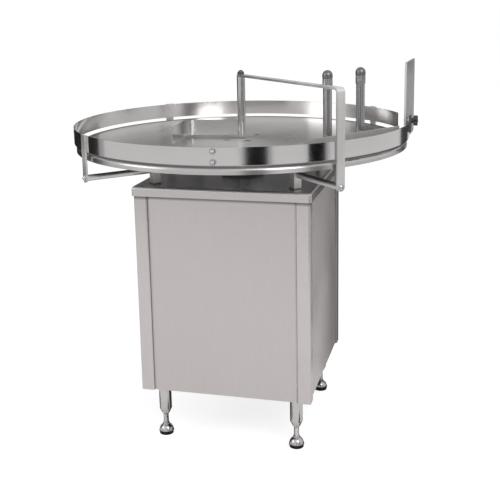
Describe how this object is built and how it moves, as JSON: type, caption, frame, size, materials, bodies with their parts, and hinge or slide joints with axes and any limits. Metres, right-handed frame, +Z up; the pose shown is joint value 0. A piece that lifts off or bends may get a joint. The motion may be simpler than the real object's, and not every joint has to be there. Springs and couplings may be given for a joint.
{
  "type": "rotary accumulation table",
  "caption": "Round steel turntable inside a fixed guard band with lane guide, deflector and outlet plate, over a sheet-metal drive cabinet on levelling legs.",
  "frame": {"origin": "on the floor, below the disc's axis", "axes": "+Z up along the disc's axis, -Y towards the front panel, +X to the right seen from the front, towards the outlet plate"},
  "size_m": [1.0379, 1.0192, 1.13],
  "materials": {
    "panel_steel": "fine vertical brushing, satin",
    "post_steel": "fine vertical brushing, satin",
    "lid_steel": "brushed, satin",
    "frame_steel": "mill finish",
    "leg_steel": "turned and polished",
    "rod_steel": "polished",
    "bar_steel": "brushed lengthwise",
    "band_steel": "polished sheet",
    "strip_steel": "polished sheet",
    "tube_steel": "polished round bar",
    "plate_steel": "satin",
    "disc_steel": "spun, circular brushing",
    "bolt_steel": "bright",
    "machined_steel": "turned",
    "cast_case": "painted casting",
    "motor_paint": "semi-gloss paint",
    "bronze": "machined bronze",
    "dark_metal": "blackened",
    "black_plastic": "moulded, fine grain",
    "box_plastic": "moulded, fine grain",
    "pad_rubber": "moulded"
  },
  "bodies": {
    "cabinet": {"corner_posts": "post_steel", "top_rails": "frame_steel", "bottom_rails": "frame_steel", "leg_plates": "frame_steel", "leg_sleeves": "leg_steel", "top_cover": "lid_steel", "front_panel": "panel_steel", "rear_panel": "panel_steel", "left_panel": "panel_steel", "right_panel": "panel_steel", "panel_clips": "frame_steel", "drive_plate": "frame_steel", "shaft_bearing": "cast_case", "drive_bolts": "bolt_steel", "gearbox_case": "cast_case", "gearbox_cover": "cast_case", "motor_case": "motor_paint", "fan_cowl": "motor_paint", "terminal_box": "motor_paint", "control_box": "box_plastic", "cable_gland": "black_plastic", "rod_blocks": "rod_steel", "support_rods": "rod_steel", "rod_bolts": "bolt_steel", "band_bars": "bar_steel", "overhead_bar": "bar_steel", "band_front": "band_steel", "band_rear": "band_steel", "flat_screws": "bolt_steel", "lane_guide": "strip_steel", "lane_screws": "bolt_steel", "lane_nuts": "bolt_steel", "guide_posts": "tube_steel", "clamp_plate": "dark_metal", "clamp_bolt": "bolt_steel"},
    "turntable": {"disc": "disc_steel", "disc_hub": "machined_steel", "hub_screws": "bolt_steel", "drive_shaft": "machined_steel", "worm_wheel": "bronze"},
    "rotor": {"worm": "machined_steel", "motor_rotor": "machined_steel", "motor_fan": "black_plastic"},
    "deflector_arm": {"centre_post": "tube_steel", "deflector": "strip_steel", "post_nut": "dark_metal"},
    "outlet_plate": {"gate_plate": "plate_steel"},
    "clamp_knob": {"star_knob": "black_plastic"},
    "cap_1": {"post_cap_1": "dark_metal"},
    "cap_2": {"post_cap_2": "dark_metal"},
    "leg_front_left": {"foot_front_left": "leg_steel", "pad_front_left": "pad_rubber"},
    "leg_front_right": {"foot_front_right": "leg_steel", "pad_front_right": "pad_rubber"},
    "leg_rear_left": {"foot_rear_left": "leg_steel", "pad_rear_left": "pad_rubber"},
    "leg_rear_right": {"foot_rear_right": "leg_steel", "pad_rear_right": "pad_rubber"},
    "switch": {"power_switch": "black_plastic"},
    "dial": {"speed_dial": "black_plastic"}
  },
  "joints": [
    {"name": "disc_spin", "type": "hinge", "parent": "cabinet", "child": "turntable", "pos_m": [0, 0, 0.9], "axis": [0, 0, 1], "continuous": true},
    {"name": "motor_spin", "type": "hinge", "parent": "cabinet", "child": "rotor", "pos_m": [0.057, 0, 0.696], "axis": [0, 1, 0], "continuous": true},
    {"name": "deflector_swing", "type": "hinge", "parent": "cabinet", "child": "deflector_arm", "pos_m": [0, 0, 1.09], "axis": [0, 0, 1], "range_deg": [-60, 60]},
    {"name": "plate_slide", "type": "slide", "parent": "cabinet", "child": "outlet_plate", "axis": [0.0436, 0.999, 0], "range_m": [-0.025, 0.023]},
    {"name": "knob_turn", "type": "hinge", "parent": "cabinet", "child": "clamp_knob", "pos_m": [0.51192, 0.00894, 0.96], "axis": [0.9998, 0.0175, 0], "range_deg": [-360, 0]},
    {"name": "cap_1_turn", "type": "hinge", "parent": "cabinet", "child": "cap_1", "pos_m": [0.31119, -0.273, 1.1], "axis": [0, 0, 1], "range_deg": [0, 720]},
    {"name": "cap_2_turn", "type": "hinge", "parent": "cabinet", "child": "cap_2", "pos_m": [0.38589, -0.1734, 1.1], "axis": [0, 0, 1], "range_deg": [0, 720]},
    {"name": "leg_front_left_level", "type": "slide", "parent": "cabinet", "child": "leg_front_left", "axis": [0, 0, 1], "range_m": [-0.03, 0.008]},
    {"name": "leg_front_right_level", "type": "slide", "parent": "cabinet", "child": "leg_front_right", "axis": [0, 0, 1], "range_m": [-0.03, 0.008]},
    {"name": "leg_rear_left_level", "type": "slide", "parent": "cabinet", "child": "leg_rear_left", "axis": [0, 0, 1], "range_m": [-0.03, 0.008]},
    {"name": "leg_rear_right_level", "type": "slide", "parent": "cabinet", "child": "leg_rear_right", "axis": [0, 0, 1], "range_m": [-0.03, 0.008]},
    {"name": "switch_turn", "type": "hinge", "parent": "cabinet", "child": "switch", "pos_m": [-0.11, 0.306, 0.66], "axis": [0, 1, 0], "range_deg": [0, 90]},
    {"name": "dial_turn", "type": "hinge", "parent": "cabinet", "child": "dial", "pos_m": [-0.11, 0.306, 0.61], "axis": [0, 1, 0], "range_deg": [0, 270]}
  ],
  "couplings": [
    {"joint": "motor_spin", "follows": "disc_spin", "ratio": 60}
  ]
}
